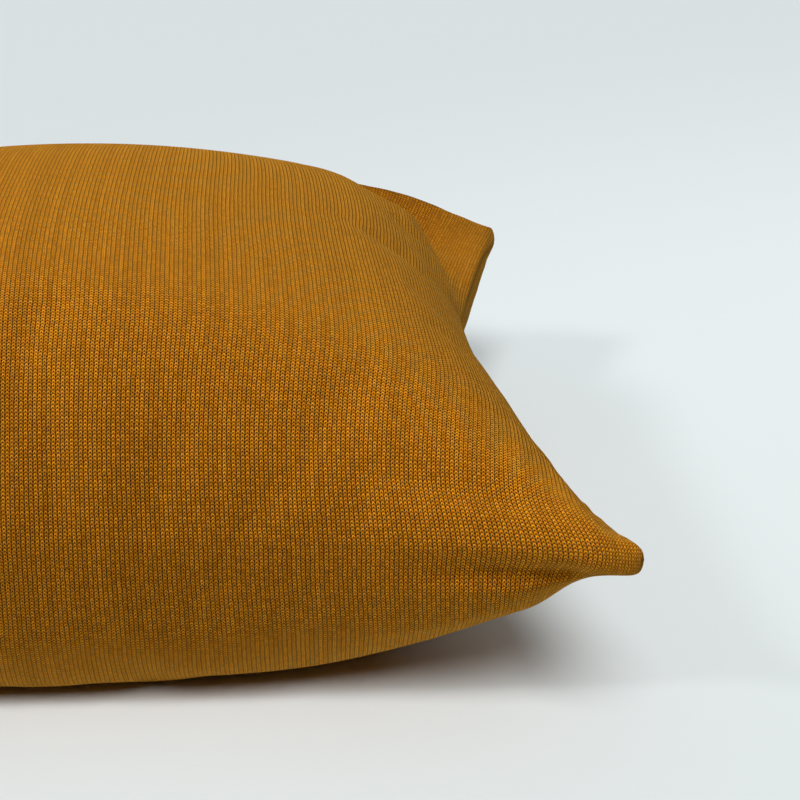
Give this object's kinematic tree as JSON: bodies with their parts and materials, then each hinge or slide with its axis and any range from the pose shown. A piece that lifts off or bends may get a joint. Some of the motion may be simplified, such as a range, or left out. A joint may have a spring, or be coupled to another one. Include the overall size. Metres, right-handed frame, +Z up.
{
  "type": "knitted cushion cover",
  "caption": "Square filled cushion cover in fine plain knit, folded at its front edge, with a full crown, drawn-in linked sides and soft dog-ear corners, lying on its back.",
  "frame": {"origin": "on the floor, under the middle of the cushion", "axes": "+X to the right across the knitted ribs, +Y from the front fold to the back edge, +Z up"},
  "size_m": [0.482, 0.4962, 0.196],
  "materials": {
    "knit": "matte fine-gauge plain knit in mustard yarn"
  },
  "bodies": {
    "root": {"cushion_cover": "knit"}
  },
  "joints": []
}
